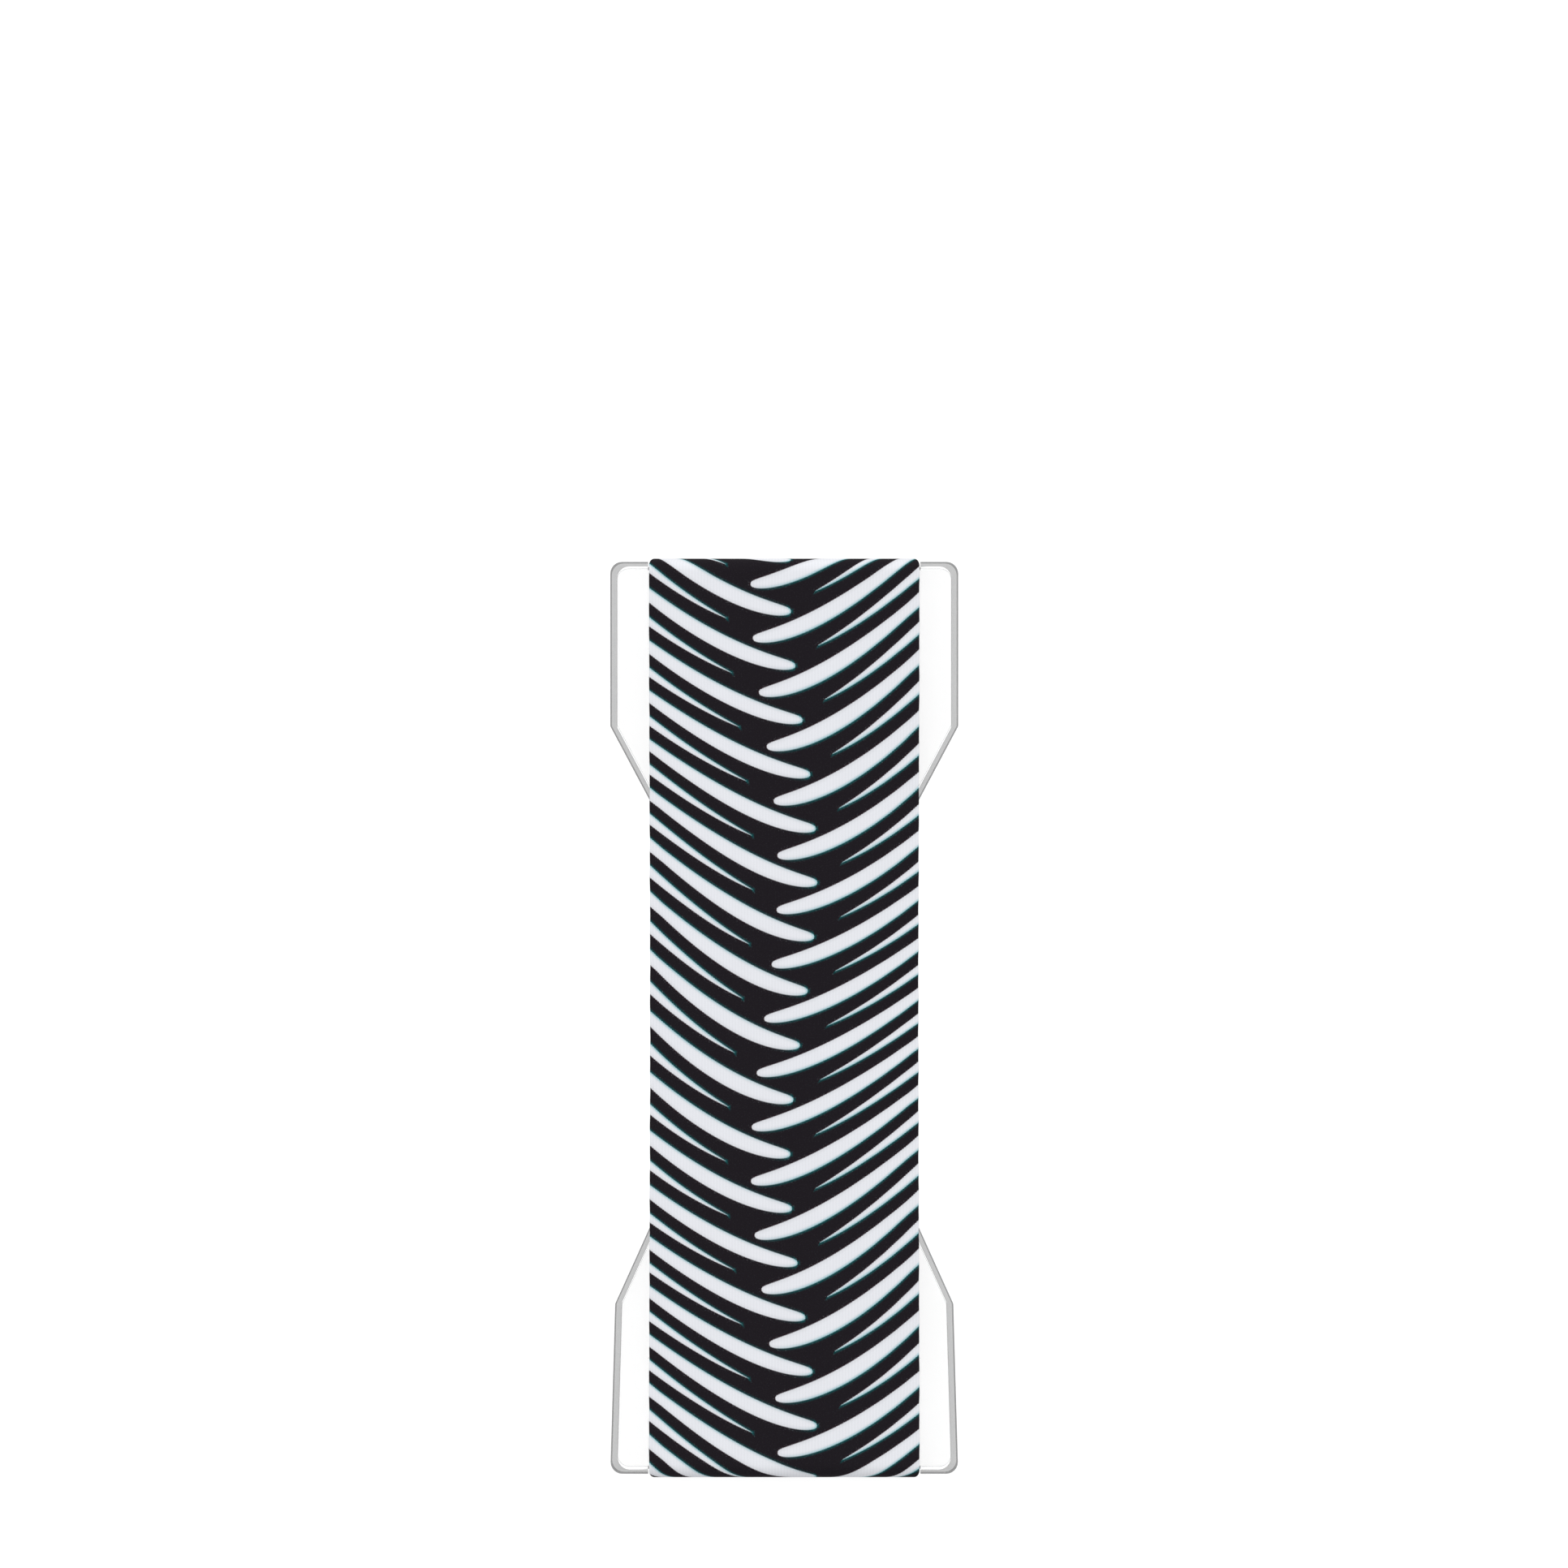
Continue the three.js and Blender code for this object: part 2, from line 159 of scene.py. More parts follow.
def addBump(tree, shader, strength, height, source):
    inputs = {"Strength": strength, "Distance": height * mm, "Height": source}
    feed(tree, addNode(tree, "ShaderNodeBump", inputs).outputs[0], shader.inputs["Normal"])


def newGroup(name, inputs, outputs):
    group = bpy.data.node_groups.new(name, "ShaderNodeTree")
    for label, kind in inputs:
        group.interface.new_socket(label, in_out="INPUT", socket_type="NodeSocket" + kind)
    for label, kind in outputs:
        group.interface.new_socket(label, in_out="OUTPUT", socket_type="NodeSocket" + kind)
    return group, addNode(group, "NodeGroupInput").outputs, addNode(group, "NodeGroupOutput").inputs


def useGroup(tree, group, inputs):
    return addNode(tree, "ShaderNodeGroup", inputs, node_tree=group).outputs


def colour(red, green, blue):
    return red, green, blue, 1.0


# fine unevenness that moulded plastic and foam share
cloudShare = 0.06  # of the grain's scale


def makeGrainGroup():
    group, given, result = newGroup(
        "fineGrain",
        [("Vector", "Vector"), ("Scale", "Float"), ("Amount", "Float")],
        [("Grain", "Float"), ("Cloud", "Float")],
    )
    fine = addNode(group, "ShaderNodeTexNoise", {"Vector": given[0], "Scale": given[1], "Detail": 3.0})
    wide = calc(group, "MULTIPLY", given[1], cloudShare)
    cloud = addNode(group, "ShaderNodeTexNoise", {"Vector": given[0], "Scale": wide, "Detail": 2.0})
    for source, target in ((fine, "Grain"), (cloud, "Cloud")):
        centred = calc(group, "SUBTRACT", source.outputs[0], 0.5)
        feed(group, calc(group, "MULTIPLY", centred, given[2]), result[target])
    return group


# knit face of the elastic: V stitches in columns, on coordinates in millimetres; its Groove mask places
# painted shade in the grooves
yarnRise = 0.35  # of one course, against the arch of a column


def makeKnitGroup():
    group, given, result = newGroup(
        "knitFace",
        [("Across", "Float"), ("Along", "Float"), ("Column", "Float"), ("Course", "Float")],
        [("Height", "Float"), ("Groove", "Float")],
    )
    across, along, column, course = given[0], given[1], given[2], given[3]
    inColumn = calc(group, "DIVIDE", across, column)
    slant = calc(group, "PINGPONG", inColumn, 0.5)
    row = calc(group, "ADD", calc(group, "DIVIDE", along, course), slant)
    yarn = calc(group, "SINE", calc(group, "MULTIPLY", row, 2 * math.pi))
    arch = calc(group, "SINE", calc(group, "MULTIPLY", slant, math.pi))
    grooveShade = calc(group, "SUBTRACT", 1.0, arch)
    feed(group, grooveShade, result["Groove"])
    feed(group, calc(group, "MULTIPLY_ADD", yarn, yarnRise, arch), result["Height"])
    return group


# print of interleaved blades in millimetres, with the sizes of the CAD film
bladePrint = {
    "pitch": 6.0,
    "rise": 9.0,
    "risePower": 1.6,
    "overlap": 2.2,
    "belly": 3.0,
    "edgeWidth": 1.5,
    "tipPower": 0.35,
    "slashStart": 5.0,
    "slashWidth": 1.2,
    "slashPower": 0.8,
    "sway": 1.5,
    "wave": 64.0,
    "wrap": 125.0,  # degrees of each fold that the blades follow
    "stitch": 0.2,  # steps that the knit leaves along an edge
    "stitchDepth": 0.05,
}


# How far a place, in millimetres across and along the flat band, lies inside a blade.
# Below 0 it is inked.
def makePrintGroup(design, halfWidth, printEnd):
    group, given, result = newGroup(
        "bladePrint", [("Across", "Float"), ("Along", "Float")], [("Inside", "Float")]
    )
    across, along = given[0], given[1]

    def stepped(value, other):
        tooth = calc(group, "PINGPONG", other, design["stitch"] / 2)
        tooth = calc(group, "DIVIDE", tooth, design["stitch"] / 2)
        return calc(group, "MULTIPLY_ADD", tooth, design["stitchDepth"], value)

    across, along = stepped(across, along), stepped(along, across)
    turn = calc(group, "MULTIPLY", along, 2 * math.pi / design["wave"])
    sway = calc(group, "MULTIPLY", calc(group, "SINE", turn), design["sway"])
    swayed = calc(group, "SUBTRACT", across, sway)

    def distanceTo(middle, offset):
        rows = calc(group, "DIVIDE", calc(group, "SUBTRACT", along, middle), design["pitch"])
        rows = calc(group, "SUBTRACT", rows, offset)
        away = calc(group, "SUBTRACT", rows, calc(group, "ROUND", rows))
        return calc(group, "MULTIPLY", calc(group, "ABSOLUTE", away), design["pitch"])

    inside = None
    for side, offset in ((1.0, 0.0), (-1.0, 0.5)):
        x = calc(group, "MULTIPLY", swayed, side)
        fromTip = calc(group, "ADD", x, design["overlap"])
        climb = calc(group, "DIVIDE", fromTip, halfWidth + design["overlap"])
        climb = calc(group, "MAXIMUM", climb, 0.0)
        rise = calc(group, "POWER", climb, design["risePower"])
        middle = calc(group, "MULTIPLY", rise, design["rise"])
        rest = calc(group, "MAXIMUM", calc(group, "SUBTRACT", 1.0, climb), 0.0)
        belly = calc(group, "MULTIPLY", calc(group, "POWER", climb, design["tipPower"]), rest)
        belly = calc(group, "MULTIPLY", belly, design["belly"] / 2)
        half = calc(group, "MULTIPLY_ADD", climb, design["edgeWidth"] / 2, belly)
        blade = calc(group, "SUBTRACT", half, distanceTo(middle, offset))
        blade = calc(group, "MINIMUM", blade, fromTip)
        fromStart = calc(group, "SUBTRACT", x, design["slashStart"])
        share = calc(group, "MAXIMUM", fromStart, 0.0)
        share = calc(group, "DIVIDE", share, halfWidth - design["slashStart"])
        thin = calc(group, "POWER", share, design["slashPower"])
        thin = calc(group, "MULTIPLY", thin, design["slashWidth"] / 2)
        slash = calc(group, "SUBTRACT", thin, distanceTo(middle, offset + 0.5))
        slash = calc(group, "MINIMUM", slash, fromStart)
        best = calc(group, "MAXIMUM", blade, slash)
        inside = best if inside is None else calc(group, "MAXIMUM", inside, best)
    toEnd = calc(group, "SUBTRACT", printEnd, calc(group, "ABSOLUTE", along))
    feed(group, calc(group, "MINIMUM", inside, toEnd), result["Inside"])
    return group


# elastic band: a flat cut strip, wrapped over both lips of the plate, with its sizes in millimetres
band = {
    "rowsFlat": 240,
    "rowsFold": 20,
    "rowsTail": 22,
    "columns": 36,
    "edgeRounding": 0.2,
    "cornerRounding": 0.45,
    "rimSegments": 3,
    "rimAngle": 60,  # degrees, as is the next
    "smoothUnder": 50,
    "seat": 0.05,  # clearance over the lips
    "neckIn": 0.12,
    "edgeWave": 0.025,  # how far the cut edge wanders
    "edgeTurns": (0.9, 2.3),  # radians of its two waves for each millimetre
    "pinHoleRadius": 0.9,
    "pinHoleFacets": 24,
    "pinCount": 5,
    "pinEdgeMargin": 3.0,
}
strapLow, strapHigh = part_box("strap")
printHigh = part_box("strap_print")[1]
clampLow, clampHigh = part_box("clamp_bar_upper")
foldOuter = (strapHigh.z - strapLow.z) / 2 / mm
foldZ = (strapHigh.z + strapLow.z) / 2 / mm
foldY = strapHigh.y / mm - foldOuter
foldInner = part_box("base_plate")[1].z / mm - foldZ + band["seat"]
faceOuter = printHigh.z / mm - foldZ
bandThickness = faceOuter - foldInner
bandMiddle = (faceOuter + foldInner) / 2
bandHalf = strapHigh.x / mm
foldLength = math.pi * bandMiddle
tailLength = foldY - clampLow.y / mm
flatHalf = foldY + foldLength + tailLength
printRadius = (faceOuter + foldOuter) / 2


# Length along the printed face for a length along the middle of the band.
def onFace(s):
    onFold = min(max(0.0, s - foldY), foldLength)
    return s + onFold * (printRadius / bandMiddle - 1)


# Place of a point of the flat strip once it is wrapped, in millimetres.
def wrapped(across, along):
    sign = 1 if along >= 0 else -1
    s = abs(along)
    if s <= foldY:
        y, z = s, foldZ + bandMiddle
    elif s <= foldY + foldLength:
        angle = (s - foldY) / bandMiddle
        y = foldY + bandMiddle * math.sin(angle)
        z = foldZ + bandMiddle * math.cos(angle)
    else:
        y, z = foldY - (s - foldY - foldLength), foldZ - bandMiddle
    end = foldY + bandMiddle
    drawnIn = band["neckIn"] * math.cos(math.pi * y / (2 * end)) ** 2
    past = min(max(0.0, y - (end - band["cornerRounding"])), band["cornerRounding"])
    rounding = band["cornerRounding"] - math.sqrt(band["cornerRounding"] ** 2 - past ** 2)
    slow, quick = band["edgeTurns"]
    wander = band["edgeWave"] * (math.sin(along * slow) + math.sin(along * quick + across)) / 2
    share = (bandHalf - drawnIn - rounding - band["edgeWave"] + wander) / bandHalf
    return across * share, sign * y, z


# Share of the band's thickness that lies outside a point: 0 on the printed face, 1 on the inside.
def depthAt(co):
    y, z = abs(co.y) / mm - foldY, co.z / mm - foldZ
    radius = math.hypot(y, z) if y > 0 else abs(z)
    return min(1.0, max(0.0, (faceOuter - radius) / bandThickness))


faceHalf = onFace(flatHalf)


def makeBand():
    rows = 2 * (band["rowsFlat"] // 2 + band["rowsFold"] + band["rowsTail"])
    bpy.ops.object.select_all(action="DESELECT")
    bpy.ops.mesh.primitive_grid_add(x_subdivisions=band["columns"], y_subdivisions=rows, size=2)
    strip = bpy.context.object
    stretches = (
        (band["rowsFlat"] // 2, foldY),
        (band["rowsFold"], foldLength),
        (band["rowsTail"], tailLength),
    )
    reach = [0.0]
    for count, length in stretches:
        reach += [reach[-1] + length * (step + 1) / count for step in range(count)]
    uvs = strip.data.uv_layers.active.data
    flat = []
    for vertex in strip.data.vertices:
        row = round(vertex.co.y * rows / 2)
        flat.append((vertex.co.x * bandHalf, math.copysign(reach[abs(row)], row)))
    for loop in strip.data.loops:
        across, along = flat[loop.vertex_index]
        onPrint = math.copysign(onFace(abs(along)), along)
        uvs[loop.index].uv = (across / bandHalf / 2 + 0.5, onPrint / faceHalf / 2 + 0.5)
    for vertex, (across, along) in zip(strip.data.vertices, flat):
        vertex.co = Vector(wrapped(across, along)) * mm
    applyModifier(strip, "SOLIDIFY", thickness=bandThickness * mm, offset=0, use_rim=True)
    applyModifier(
        strip, "BEVEL", width=band["edgeRounding"] * mm, segments=band["rimSegments"],
        limit_method="ANGLE", angle_limit=math.radians(band["rimAngle"]),
    )
    punchHoles(strip)
    depth = strip.data.attributes.new("faceDepth", "FLOAT", "POINT")
    for vertex, item in zip(strip.data.vertices, depth.data):
        item.value = depthAt(vertex.co)
    smoothEdges(strip, band["smoothUnder"])
    return strip


# Punches the row of pin holes through both tails.
def punchHoles(strip):
    middle = (clampLow.y + clampHigh.y) / 2
    spacing = 2 * (bandHalf - band["pinEdgeMargin"]) / (band["pinCount"] - 1)
    punches = []
    for end in (-1, 1):
        for index in range(band["pinCount"]):
            x = (index - (band["pinCount"] - 1) / 2) * spacing * mm
            bpy.ops.mesh.primitive_cylinder_add(
                vertices=band["pinHoleFacets"], radius=band["pinHoleRadius"] * mm, depth=foldInner * 2 * mm,
                location=(x, end * middle, (foldZ - bandMiddle) * mm),
            )
            punches.append(bpy.context.object)
    selectOnly(punches[0])
    for punch in punches:
        punch.select_set(True)
    bpy.ops.object.join()
    punch = bpy.context.object
    applyModifier(strip, "BOOLEAN", operation="DIFFERENCE", object=punch, solver="EXACT")
    bpy.data.objects.remove(punch)


bandLook = {
    "white": (0.740, 0.752, 0.792),
    "black": (0.0108, 0.0086, 0.0116),
    "edgeSoftness": 0.07,  # millimetres, as are the sizes below
    "cyanShift": (-0.24, 0.04),  # where the cyan lies against the other inks
    "cyanGain": 1.7,
    "tealInk": (0.0010, 0.068, 0.072),  # black's edge where the cyan stands out
    "tealWidth": 0.38,
    "maroonInk": (0.0180, 0.0065, 0.0100),  # black's edge where the cyan is missing
    "maroonWidth": 0.3,
    "tint": (0.27, 0.52, 0.57),  # cyan alone on the white yarn
    "tintWidth": 0.36,
    "tinted": 0.85,
    "spread": 0.55,  # how far from a blade's edge the ink dulls the white
    "dulled": 0.90,
    "clouds": (0.975, 1.02),  # unevenness of the white
    "cloudScale": 0.22,
    "soak": (0.55, 0.85),  # shares of the band's thickness between which the ink fades
    "soakFray": 0.3,
    "fibreScale": 3.2,
    "speck": 0.13,  # white yarn that shows through the ink by its edges
    "bare": (0.25, 0.27, 0.29),
    "bareNoise": (0.60, 0.72),
    "bareShare": 0.3,
    "bareReach": (-0.5, -0.1),
    "bareAway": 0.12,  # share of the specks that is left away from the edges
    "column": 0.34,
    "course": 0.24,
    # painted shade: a dark colour mixed into the knit's grooves, and how much of it
    "grooveShade": (0.02, 0.02, 0.024),
    "grooveShadeShare": 0.05,
    "stitchHeight": 0.02,
    "stitchStrength": 0.35,
    "roughInk": 0.8,
    "roughYarn": 0.94,
}


def makeBandMaterial(look):
    material, shader = newMaterial("printedElastic", Specular_IOR_Level=0.06)
    tree = material.node_tree
    uv = addNode(tree, "ShaderNodeTexCoord").outputs["UV"]
    toMm = addNode(tree, "ShaderNodeMapping", {"Vector": uv})
    toMm.inputs["Scale"].default_value = (2 * bandHalf, 2 * faceHalf, 1)
    toMm.inputs["Location"].default_value = (-bandHalf, -faceHalf, 0)

    def useNoise(scale, detail):
        inputs = {"Vector": toMm.outputs[0], "Scale": scale, "Detail": detail}
        return addNode(tree, "ShaderNodeTexNoise", inputs).outputs[0]

    place = addNode(tree, "ShaderNodeSeparateXYZ", {0: toMm.outputs[0]}).outputs
    fold = math.pi * printRadius
    printGroup = makePrintGroup(bladePrint, bandHalf, foldY + fold * bladePrint["wrap"] / 180)
    inside = useGroup(tree, printGroup, {"Across": place[0], "Along": place[1]})["Inside"]
    shift = Vector(look["cyanShift"])
    shiftedX = calc(tree, "SUBTRACT", place[0], shift.x)
    shiftedY = calc(tree, "SUBTRACT", place[1], shift.y)
    cyanInside = useGroup(tree, printGroup, {"Across": shiftedX, "Along": shiftedY})["Inside"]
    facing = calc(tree, "SUBTRACT", inside, cyanInside)
    facing = calc(tree, "MULTIPLY", facing, look["cyanGain"] / shift.length)
    facing = calc(tree, "MINIMUM", calc(tree, "MAXIMUM", facing, -1.0), 1.0)

    # the ink soaks in a little way round the cut edge
    depth = addNode(tree, "ShaderNodeAttribute", attribute_name="faceDepth").outputs["Fac"]
    fibre = useNoise(look["fibreScale"], 4.0)
    soaked = calc(tree, "MULTIPLY_ADD", fibre, look["soakFray"], depth)
    inked = ramp(tree, soaked, *look["soak"], 1.0, 0.0)
    black = ramp(tree, inside, -look["edgeSoftness"], look["edgeSoftness"], 1.0, 0.0)
    black = calc(tree, "MULTIPLY", black, inked)

    # white yarn, tinted where the cyan stands out past the black
    cloud = useNoise(look["cloudScale"], 2.0)
    dim, bright = (colour(*(value * share for value in look["white"])) for share in look["clouds"])
    white = mixColour(tree, cloud, dim, bright)
    nearInk = ramp(tree, inside, 0.0, look["spread"], look["dulled"], 1.0)
    white = mixColour(tree, nearInk, colour(0.0, 0.0, 0.0), white)
    tinted = ramp(tree, inside, 0.0, look["tintWidth"], look["tinted"], 0.0)
    tinted = calc(tree, "MULTIPLY", tinted, calc(tree, "MULTIPLY", facing, inked, clamp=True))
    white = mixColour(tree, tinted, white, colour(*look["tint"]))

    # black ink, with its teal and maroon edges and the specks of bare yarn
    teal = calc(tree, "MULTIPLY", ramp(tree, inside, -look["tealWidth"], 0.0), facing, clamp=True)
    ink = mixColour(tree, teal, colour(*look["black"]), colour(*look["tealInk"]))
    behind = calc(tree, "MULTIPLY", facing, -1.0)
    maroon = ramp(tree, inside, -look["maroonWidth"], 0.0)
    maroon = calc(tree, "MULTIPLY", maroon, behind, clamp=True)
    ink = mixColour(tree, maroon, ink, colour(*look["maroonInk"]))
    bare = ramp(tree, useNoise(1 / look["speck"], 1.0), *look["bareNoise"], 0.0, look["bareShare"])
    bare = calc(tree, "MULTIPLY", bare, ramp(tree, inside, *look["bareReach"], look["bareAway"], 1.0))
    ink = mixColour(tree, bare, ink, colour(*look["bare"]))
    face = mixColour(tree, black, white, ink)

    knit = useGroup(
        tree, makeKnitGroup(),
        {"Across": place[0], "Along": place[1], "Column": look["column"], "Course": look["course"]},
    )
    # painted shade: the knit's grooves are darkened in the colour, as if shaded
    shade = calc(tree, "MULTIPLY", knit["Groove"], look["grooveShadeShare"])
    face = mixColour(tree, shade, face, colour(*look["grooveShade"]))
    feed(tree, face, shader.inputs["Base Color"])
    feed(tree, ramp(tree, black, 0.0, 1.0, look["roughYarn"], look["roughInk"]), shader.inputs["Roughness"])
    addBump(tree, shader, look["stitchStrength"], look["stitchHeight"], knit["Height"])
    return material


strap = makeBand()
strap.data.materials.clear()
strap.data.materials.append(makeBandMaterial(bandLook))
finishPiece(strap, "elastic_band", "white_elastic", "strap", "strap_print")
print("elastic band wrapped,", len(strap.data.polygons), "faces")

# refining of the CAD pieces: millimetres between corners that are one, and angles in degrees
refining = {
    "merge": 0.0005,
    "flat": 1,
    "sharp": 28,  # past this an edge is broken
    "smooth": 40,
}


# Copy of a CAD node with its flats joined up again and its edges broken, as moulded plastic has them.
def refinedCopy(node, look):
    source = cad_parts[node]
    piece = source.copy()
    piece.data = source.data.copy()
    for key in list(piece.keys()):
        del piece[key]
    piece.parent = None
    scene.collection.objects.link(piece)
    piece.data.materials.clear()
    selectOnly(piece)
    bpy.ops.object.mode_set(mode="EDIT")
    bpy.ops.mesh.select_all(action="SELECT")
    bpy.ops.mesh.remove_doubles(threshold=refining["merge"] * mm)
    bpy.ops.mesh.dissolve_limited(angle_limit=math.radians(refining["flat"]))
    bpy.ops.object.mode_set(mode="OBJECT")
    applyModifier(
        piece, "BEVEL", width=look["edgeBreak"] * mm, segments=look["edgeSegments"],
        limit_method="ANGLE", angle_limit=math.radians(refining["sharp"]), use_clamp_overlap=True,
    )
    smoothEdges(piece, refining["smooth"])
    return piece


grainGroup = makeGrainGroup()


# Grain of a moulded face: joins up its bump and hands back its two noises.
def addGrain(tree, shader, setup):
    place = addNode(tree, "ShaderNodeTexCoord").outputs["Object"]
    inputs = {"Vector": place, "Scale": setup["scale"], "Amount": setup["amount"]}
    grain = useGroup(tree, grainGroup, inputs)
    addBump(tree, shader, setup["strength"], setup["height"], grain["Grain"])
    return grain


# base plate: clear moulded plate, seen through on its flats, with painted shade, a grey, along its bevelled
# edges and walls
plateLook = {
    "edgeBreak": 0.07,
    "edgeSegments": 2,
    "clear": (0.93, 0.945, 0.955),
    # painted shade: grey for the bevels and walls, picked by which way they face
    "edge": (0.075, 0.076, 0.078),
    "flatAlpha": 0.01,
    # painted reflection: the alpha that the pale clear colour reaches at a glancing view
    "glossAlpha": 0.5,  # at a glancing view
    "glossIor": 1.4,
    "glossFrom": 0.03,
    "edgeAlpha": 0.55,
    "flatUp": (0.86, 0.99),  # upward parts of a normal between a bevel and a flat
    "wallUp": (-0.5, -0.1),  # the same between the clear underside and a wall
    "rough": 0.08,
    "edgeRough": 0.2,
    "grain": {"scale": 900.0, "amount": 0.12, "strength": 0.15, "height": 0.01},
    "pocketMargin": 1.0,
    # painted shade: the pockets keep only this share of the grey
    "pocketEdge": 0.25,  # share of the edges' grey inside the pockets
}


def makeClearPlastic(look):
    material, shader = newMaterial("clearPlastic", IOR=1.58)
    tree = material.node_tree
    grain = addGrain(tree, shader, look["grain"])
    # painted shade: faces that tilt away from the flats and the underside get the grey colour and more
    # alpha
    normal = addNode(tree, "ShaderNodeNewGeometry").outputs["Normal"]
    upward = addNode(tree, "ShaderNodeSeparateXYZ", {0: normal}).outputs[2]
    edge = ramp(tree, upward, *look["flatUp"], 1.0, 0.0)
    edge = calc(tree, "MULTIPLY", edge, ramp(tree, upward, *look["wallUp"]))

    # the pins and the pocket walls are seen through, so they get only a little of the painted grey shade
    objectPlace = addNode(tree, "ShaderNodeTexCoord").outputs["Object"]
    place = addNode(tree, "ShaderNodeSeparateXYZ", {0: objectPlace}).outputs
    margin = look["pocketMargin"] * mm
    across = ramp(tree, calc(tree, "ABSOLUTE", place[0]), clampHigh.x, clampHigh.x + margin)
    along = calc(tree, "SUBTRACT", calc(tree, "ABSOLUTE", place[1]), (clampLow.y + clampHigh.y) / 2)
    halfLength = (clampHigh.y - clampLow.y) / 2
    along = ramp(tree, calc(tree, "ABSOLUTE", along), halfLength, halfLength + margin)
    outside = ramp(tree, calc(tree, "MAXIMUM", across, along), 0.0, 1.0, look["pocketEdge"], 1.0)
    edge = calc(tree, "MULTIPLY", edge, outside)

    face = mixColour(tree, edge, colour(*look["clear"]), colour(*look["edge"]))
    feed(tree, face, shader.inputs["Base Color"])
    # painted reflection: at glancing views the alpha rises, so more of the pale clear colour shows, along
    # with the real gloss
    glancing = addNode(tree, "ShaderNodeFresnel", {"IOR": look["glossIor"]}).outputs[0]
    flat = ramp(tree, glancing, look["glossFrom"], 1.0, look["flatAlpha"], look["glossAlpha"])
    rim = ramp(tree, edge, 0.0, 1.0, 0.0, look["edgeAlpha"])
    feed(tree, calc(tree, "MAXIMUM", flat, rim), shader.inputs["Alpha"])
    rough = calc(tree, "MULTIPLY_ADD", edge, look["edgeRough"], look["rough"])
    rough = calc(tree, "ADD", rough, grain["Cloud"], clamp=True)
    feed(tree, rough, shader.inputs["Roughness"])
    return material


plate = refinedCopy("base_plate", plateLook)
plate.data.materials.append(makeClearPlastic(plateLook))
finishPiece(plate, "clear_base_plate", "clear_plastic", "base_plate")
print("base plate finished,", len(plate.data.polygons), "faces")

# clamp bars: moulded strips with a satin face
barLook = {
    "edgeBreak": 0.05,
    "edgeSegments": 2,
    "colour": (0.62, 0.64, 0.66),
    "paler": 1.1,
    "rough": 0.42,
    "grain": {"scale": 2500.0, "amount": 0.2, "strength": 0.3, "height": 0.01},
}


def makeMilkyPlastic(look):
    material, shader = newMaterial("milkyPlastic", IOR=1.5, Subsurface_Weight=0.1)
    tree = material.node_tree
    grain = addGrain(tree, shader, look["grain"])
    base = colour(*look["colour"])
    pale = colour(*(value * look["paler"] for value in look["colour"]))
    cloud = calc(tree, "ADD", grain["Cloud"], 0.5)
    feed(tree, mixColour(tree, cloud, base, pale), shader.inputs["Base Color"])
    feed(tree, calc(tree, "ADD", grain["Grain"], look["rough"]), shader.inputs["Roughness"])
    return material


milkyPlastic = makeMilkyPlastic(barLook)
for end in ("upper", "lower"):
    bar = refinedCopy(f"clamp_bar_{end}", barLook)
    bar.data.materials.append(milkyPlastic)
    finishPiece(bar, f"clamp_strip_{end}", "milky_plastic", f"clamp_bar_{end}")
print("clamp strips finished")

# adhesive pad: clear foam under the plate, with painted grey shade on its walls
padLook = {
    "edgeBreak": 0.12,
    "edgeSegments": 3,
    "gap": 0.02,  # under the plate, so that their two faces don't lie in one place
    "colour": (0.86, 0.88, 0.89),
    "paler": 1.08,
    # painted shade: grey for the pad's walls, picked by which way they face
    "edge": (0.36, 0.38, 0.39),
    "flatAlpha": 0.012,
    "edgeAlpha": 0.24,
    "flatUp": (0.6, 0.98),  # upright parts of a normal between a wall and a flat
    "grain": {"scale": 1600.0, "amount": 0.3, "strength": 0.4, "height": 0.02},
}


def makeClearFoam(look):
    material, shader = newMaterial("clearFoam", Roughness=0.5, IOR=1.47)
    tree = material.node_tree
    grain = addGrain(tree, shader, look["grain"])
    normal = addNode(tree, "ShaderNodeNewGeometry").outputs["Normal"]
    upright = calc(tree, "ABSOLUTE", addNode(tree, "ShaderNodeSeparateXYZ", {0: normal}).outputs[2])
    # painted shade: walls, whose normal is far from upright, get the grey colour and more alpha
    edge = ramp(tree, upright, *look["flatUp"], 1.0, 0.0)
    base = colour(*look["colour"])
    pale = colour(*(value * look["paler"] for value in look["colour"]))
    cells = calc(tree, "ADD", grain["Grain"], 0.5)
    foam = mixColour(tree, cells, base, pale)
    feed(tree, mixColour(tree, edge, foam, colour(*look["edge"])), shader.inputs["Base Color"])
    feed(tree, ramp(tree, edge, 0.0, 1.0, look["flatAlpha"], look["edgeAlpha"]), shader.inputs["Alpha"])
    return material


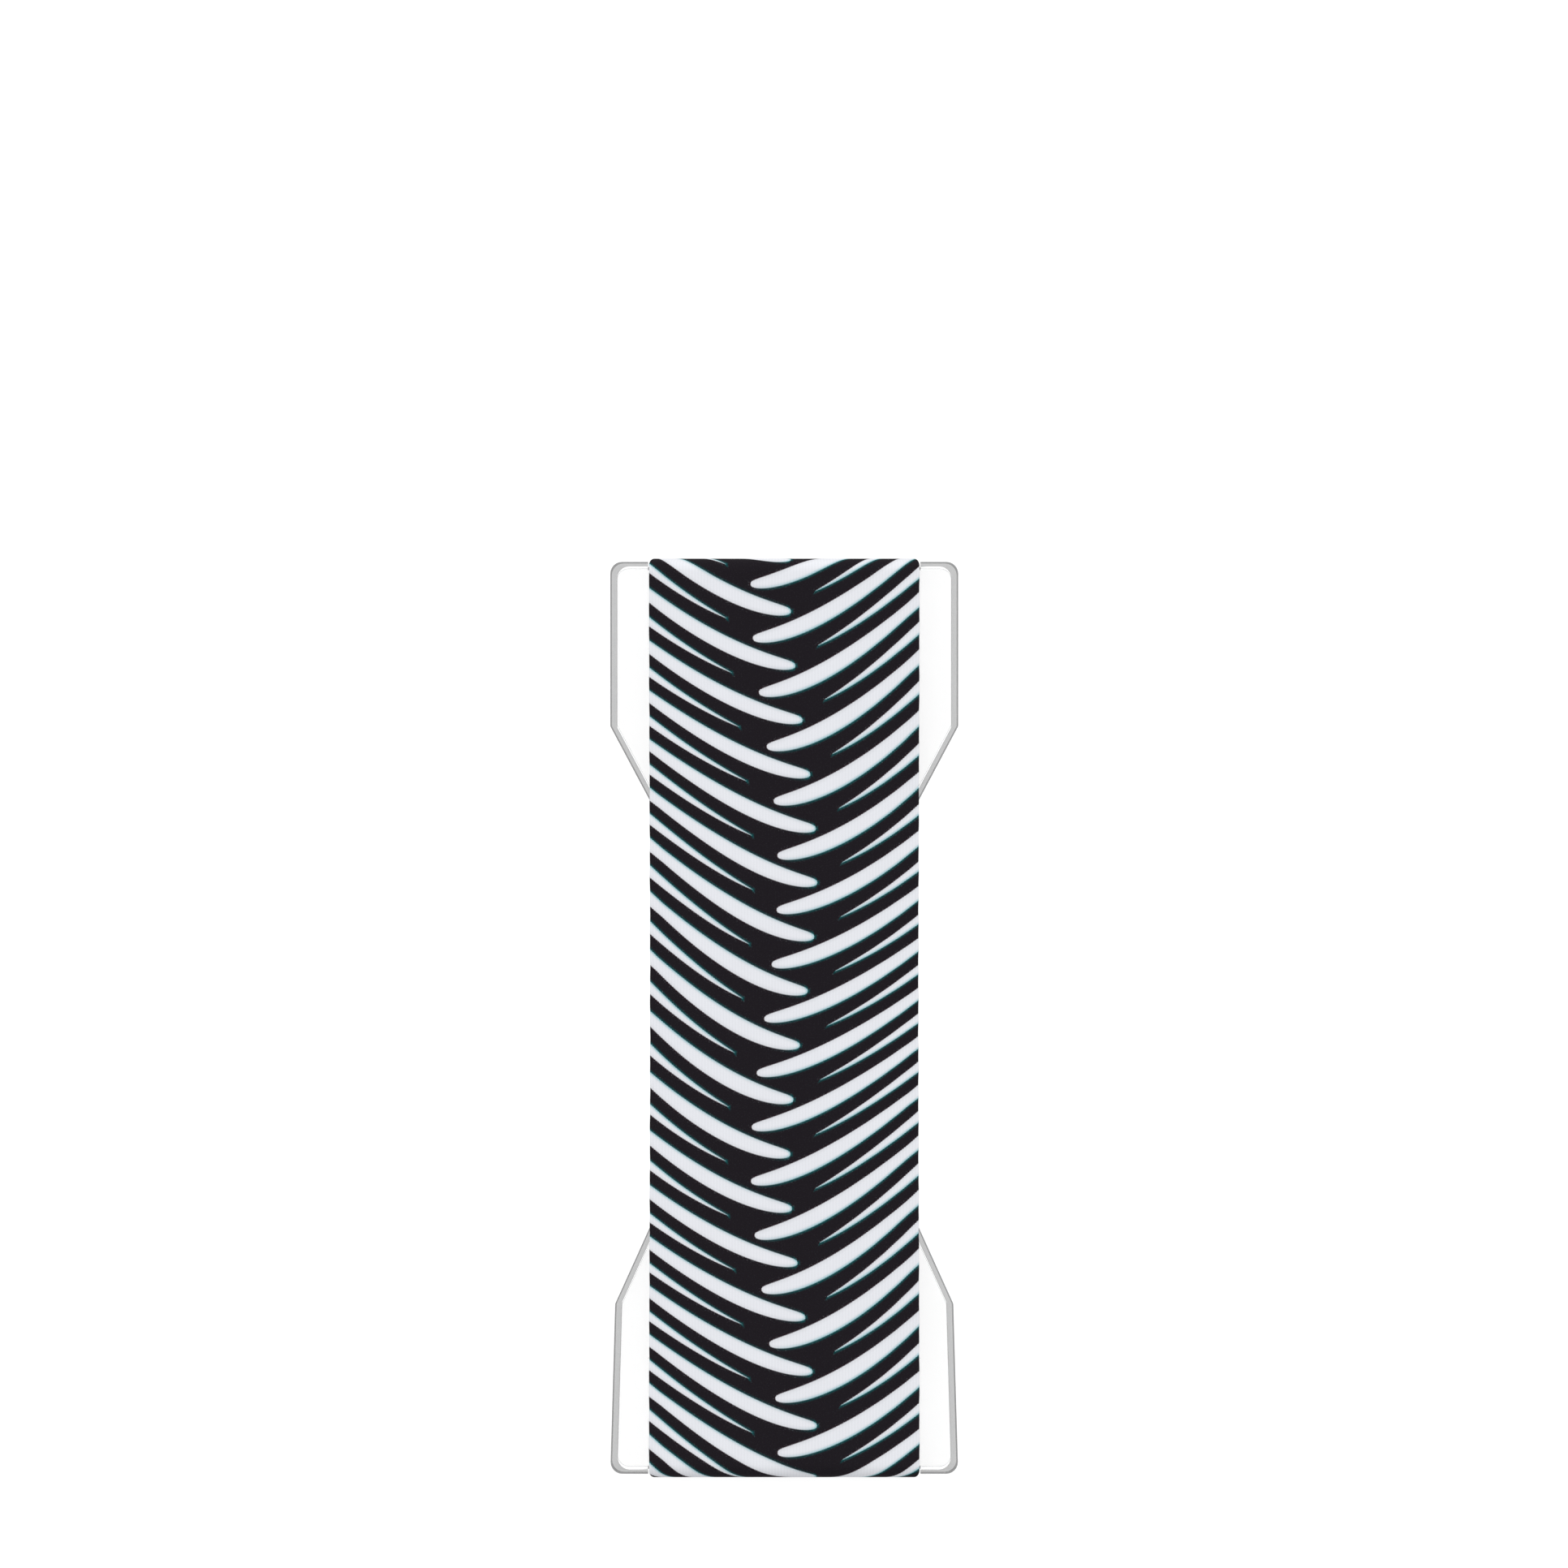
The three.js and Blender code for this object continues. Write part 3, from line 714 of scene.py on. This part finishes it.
pad = refinedCopy("adhesive_pad", padLook)
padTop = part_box("adhesive_pad")[1].z
for vertex in pad.data.vertices:
    if vertex.co.z > padTop / 2:
        vertex.co.z -= padLook["gap"] * mm
pad.data.materials.append(makeClearFoam(padLook))
finishPiece(pad, "clear_adhesive_pad", "clear_adhesive", "adhesive_pad")
print("adhesive pad finished")

# floor and light, in metres but for the floor's drop, which is in millimetres
floorLook = {"size": 3.0, "drop": 0.02, "colour": (0.26, 0.26, 0.26), "glow": 0.85}
lightSetup = {
    "sky": {"bright": 1.02, "dim": 0.25, "from": -0.85, "to": -0.1},  # dimmer past the lower end
    "key": {"place": (-0.2, 0.35, 1.3), "size": 0.9, "power": 4.2},
    "fill": {"place": (0.9, 0.3, 1.2), "size": 1.2, "power": 1.6},
}


def addFloor(look):
    bpy.ops.object.select_all(action="DESELECT")
    bpy.ops.mesh.primitive_plane_add(size=look["size"], location=(0, 0, -look["drop"] * mm))
    floor = bpy.context.object
    floor.name = "floor"
    material, shader = newMaterial("paleFloor", Roughness=0.95, Specular_IOR_Level=0.1)
    shader.inputs["Base Color"].default_value = colour(*look["colour"])
    shader.inputs["Emission Color"].default_value = (1, 1, 1, 1)
    shader.inputs["Emission Strength"].default_value = look["glow"]
    floor.data.materials.append(material)


def addLights(setup):
    world = bpy.data.worlds.new("studio")
    scene.world = world
    world.use_nodes = True
    tree = world.node_tree
    background = tree.nodes["Background"]
    background.inputs["Color"].default_value = (1, 1, 1, 1)
    direction = addNode(tree, "ShaderNodeTexCoord").outputs["Generated"]
    along = addNode(tree, "ShaderNodeSeparateXYZ", {0: direction}).outputs[1]
    sky = setup["sky"]
    strength = ramp(tree, along, sky["from"], sky["to"], sky["dim"], sky["bright"])
    feed(tree, strength, background.inputs["Strength"])
    for name in ("key", "fill"):
        lamp = setup[name]
        place = Vector(lamp["place"])
        bpy.ops.object.light_add(type="AREA", location=place)
        light = bpy.context.object
        light.name = name
        light.data.size = lamp["size"]
        light.data.energy = lamp["power"]
        light.rotation_euler = (-place).to_track_quat("-Z", "Y").to_euler()


addFloor(floorLook)
addLights(lightSetup)
print("floor and lights placed")
